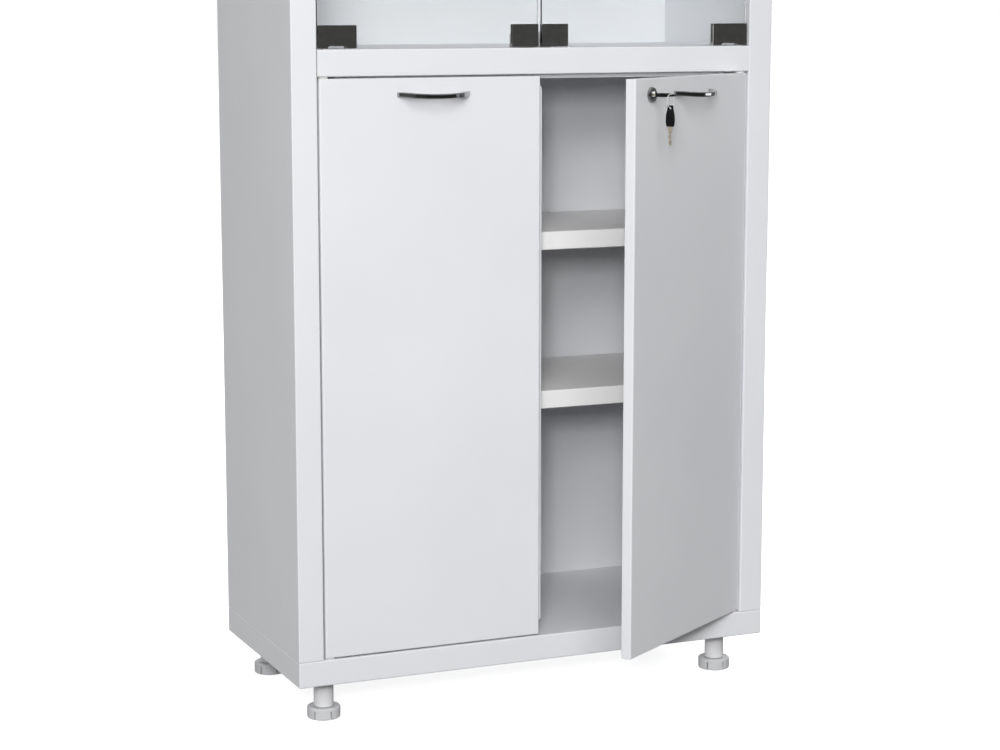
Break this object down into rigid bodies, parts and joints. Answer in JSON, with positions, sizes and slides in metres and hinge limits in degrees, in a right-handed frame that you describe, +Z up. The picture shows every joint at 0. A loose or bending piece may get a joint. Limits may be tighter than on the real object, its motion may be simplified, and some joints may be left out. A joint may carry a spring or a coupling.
{
  "type": "medical cabinet",
  "caption": "Free-standing white sheet-steel medical cabinet: glass doors over glass shelves above, lockable steel doors over steel shelves below, on levelling feet.",
  "frame": {"origin": "on the floor, under the middle of the carcass", "axes": "+Z up, the doors face -Y, +X to the right seen from the front"},
  "size_m": [0.7, 0.4977, 1.662],
  "materials": {
    "white_paint": "white powder coat, satin",
    "dark_chrome": "polished chrome plate",
    "key_steel": "nickel-plated steel",
    "zinc_plate": "bright zinc plate",
    "black_plastic": "moulded black plastic",
    "grey_plastic": "moulded pale grey plastic",
    "white_nylon": "moulded white nylon",
    "clear_glass": "clear float glass, green at the edge"
  },
  "bodies": {
    "cabinet": {"base_tray": "white_paint", "top_cover": "white_paint", "left_side_panel": "white_paint", "right_side_panel": "white_paint", "back_panel": "white_paint", "divider": "white_paint", "front_left_foot_leg": "grey_plastic", "front_right_foot_leg": "grey_plastic", "rear_left_foot_leg": "grey_plastic", "rear_right_foot_leg": "grey_plastic", "lower_steel_shelf": "white_paint", "upper_steel_shelf": "white_paint", "lower_glass_shelf": "clear_glass", "upper_glass_shelf": "clear_glass", "lower_steel_shelf_left_ledger": "white_paint", "lower_steel_shelf_right_ledger": "white_paint", "upper_steel_shelf_left_ledger": "white_paint", "upper_steel_shelf_right_ledger": "white_paint", "lower_glass_shelf_left_ledger": "white_paint", "lower_glass_shelf_right_ledger": "white_paint", "upper_glass_shelf_left_ledger": "white_paint", "upper_glass_shelf_right_ledger": "white_paint", "lower_left_door_bottom_pivot": "white_nylon", "lower_left_door_top_pivot": "white_nylon", "lower_right_door_bottom_pivot": "white_nylon", "lower_right_door_top_pivot": "white_nylon", "glass_left_door_hinge_bush": "white_nylon", "glass_right_door_hinge_bush": "white_nylon", "push_latch_body": "grey_plastic"},
    "lower_left_door": {"lower_left_door_panel": "white_paint", "lower_left_door_handle": "dark_chrome", "overlap_strip": "white_paint", "shoot_bolt_case": "zinc_plate"},
    "shoot_bolt": {"shoot_bolt": "zinc_plate"},
    "lower_right_door": {"lower_right_door_panel": "white_paint", "lower_right_door_handle": "dark_chrome", "lock_housing": "dark_chrome", "lock_nut": "zinc_plate"},
    "lock_plug": {"lock_plug": "dark_chrome", "lock_cam": "zinc_plate"},
    "key": {"key_blade": "key_steel", "key_head": "black_plastic"},
    "key_ring": {"key_ring": "key_steel"},
    "spare_key": {"spare_key_blade": "key_steel", "spare_key_head": "black_plastic"},
    "glass_left_door": {"glass_left_door_pane": "clear_glass", "glass_left_door_bottom_clamp": "dark_chrome", "glass_left_door_top_clamp": "dark_chrome", "glass_left_door_strike": "dark_chrome"},
    "push_latch_left_plunger": {"push_latch_left_plunger": "grey_plastic"},
    "glass_right_door": {"glass_right_door_pane": "clear_glass", "glass_right_door_bottom_clamp": "dark_chrome", "glass_right_door_top_clamp": "dark_chrome", "glass_right_door_strike": "dark_chrome"},
    "push_latch_right_plunger": {"push_latch_right_plunger": "grey_plastic"},
    "front_left_foot_glide": {"front_left_foot_glide": "grey_plastic"},
    "front_right_foot_glide": {"front_right_foot_glide": "grey_plastic"},
    "rear_left_foot_glide": {"rear_left_foot_glide": "grey_plastic"},
    "rear_right_foot_glide": {"rear_right_foot_glide": "grey_plastic"}
  },
  "joints": [
    {"name": "lower_left_door_hinge", "type": "hinge", "parent": "cabinet", "child": "lower_left_door", "pos_m": [-0.305, -0.1525, 0.47], "axis": [0, 0, -1], "range_deg": [0, 100]},
    {"name": "lower_right_door_hinge", "type": "hinge", "parent": "cabinet", "child": "lower_right_door", "pos_m": [0.305, -0.1525, 0.47], "axis": [0, 0, 1], "range_deg": [-33.5, 66.5]},
    {"name": "glass_left_door_hinge", "type": "hinge", "parent": "cabinet", "child": "glass_left_door", "pos_m": [-0.3, -0.152, 1.255], "axis": [0, 0, -1], "range_deg": [0, 110]},
    {"name": "glass_right_door_hinge", "type": "hinge", "parent": "cabinet", "child": "glass_right_door", "pos_m": [0.3, -0.152, 1.255], "axis": [0, 0, 1], "range_deg": [0, 110]},
    {"name": "shoot_bolt_slide", "type": "slide", "parent": "lower_left_door", "child": "shoot_bolt", "axis": [0, 0, 1], "range_m": [0, 0.012]},
    {"name": "lock_turn", "type": "hinge", "parent": "lower_right_door", "child": "lock_plug", "pos_m": [0.09024, -0.30364, 0.8385], "axis": [-0.5519, 0.8339, 0], "range_deg": [0, 90]},
    {"name": "key_pull", "type": "slide", "parent": "lock_plug", "child": "key", "axis": [0.5519, -0.8339, 0], "range_m": [0, 0.026]},
    {"name": "key_ring_swing", "type": "hinge", "parent": "key", "child": "key_ring", "pos_m": [0.1038, -0.33136, 0.8394], "axis": [0.5519, -0.8339, 0], "range_deg": [-15, 3]},
    {"name": "spare_key_swing", "type": "hinge", "parent": "key_ring", "child": "spare_key", "pos_m": [0.1038, -0.33136, 0.82311], "axis": [0.8339, 0.5519, 0], "range_deg": [-60, 35]},
    {"name": "push_latch_left_press", "type": "slide", "parent": "cabinet", "child": "push_latch_left_plunger", "axis": [0, 1, 0], "range_m": [0, 0.004], "stiffness_N_per_m": 400},
    {"name": "push_latch_right_press", "type": "slide", "parent": "cabinet", "child": "push_latch_right_plunger", "axis": [0, 1, 0], "range_m": [0, 0.004], "stiffness_N_per_m": 400},
    {"name": "front_left_foot_screw", "type": "slide", "parent": "cabinet", "child": "front_left_foot_glide", "axis": [0, 0, -1], "range_m": [0, 0.015]},
    {"name": "front_right_foot_screw", "type": "slide", "parent": "cabinet", "child": "front_right_foot_glide", "axis": [0, 0, -1], "range_m": [0, 0.015]},
    {"name": "rear_left_foot_screw", "type": "slide", "parent": "cabinet", "child": "rear_left_foot_glide", "axis": [0, 0, -1], "range_m": [0, 0.015]},
    {"name": "rear_right_foot_screw", "type": "slide", "parent": "cabinet", "child": "rear_right_foot_glide", "axis": [0, 0, -1], "range_m": [0, 0.015]}
  ]
}
